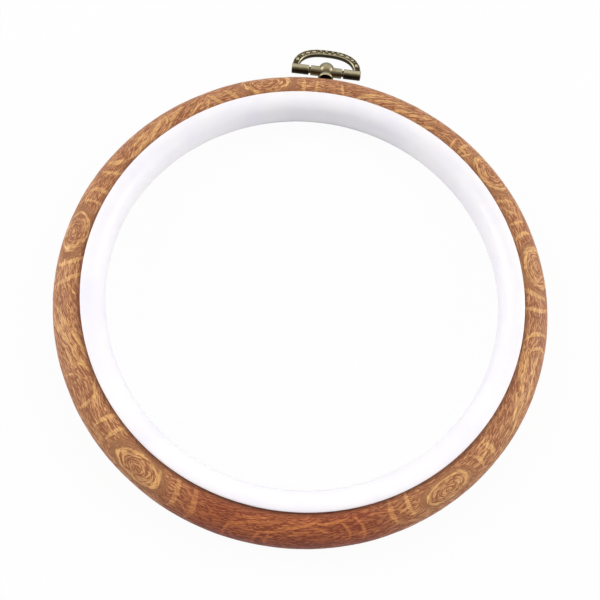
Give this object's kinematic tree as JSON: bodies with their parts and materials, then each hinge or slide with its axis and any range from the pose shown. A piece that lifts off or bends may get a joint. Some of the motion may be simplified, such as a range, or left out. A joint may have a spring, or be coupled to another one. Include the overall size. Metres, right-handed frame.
{
  "type": "embroidery hoop",
  "caption": "Round embroidery hoop: a rigid inner ring, a stretchy wood-grained outer ring and a hinged metal loop for hanging the finished work.",
  "frame": {"origin": "centre of the hoop, on its axis, at the rings' mid-height; the part lies flat on the inner ring's underside", "axes": "+Z along the hoop's axis, towards the side that shows when the work is hung; +Y from the centre towards the hanger; +X to the right"},
  "size_m": [0.1714, 0.1874, 0.015],
  "materials": {
    "pale_plastic": "smooth, semi-gloss",
    "wood_print_vinyl": "satin, printed and embossed wood grain",
    "antique_bronze": "antique plated, burnished on the high places",
    "pin_steel": "drawn wire, darkened",
    "screw_steel": "bright zinc"
  },
  "bodies": {
    "inner": {"inner_ring": "pale_plastic"},
    "outer": {"outer_ring": "wood_print_vinyl", "hanger_stem": "antique_bronze", "hanger_screw": "screw_steel", "screw_washer": "screw_steel"},
    "loop": {"bail": "antique_bronze", "hinge_pin": "pin_steel"}
  },
  "joints": [
    {"name": "outer_ring_slide", "type": "slide", "parent": "inner", "child": "outer", "axis": [0, 0, 1], "range_m": [0, 0.025]},
    {"name": "bail_hinge", "type": "hinge", "parent": "outer", "child": "loop", "pos_m": [0, 0.0914, 0], "axis": [1, 0, 0], "range_deg": [-135, 135]}
  ]
}
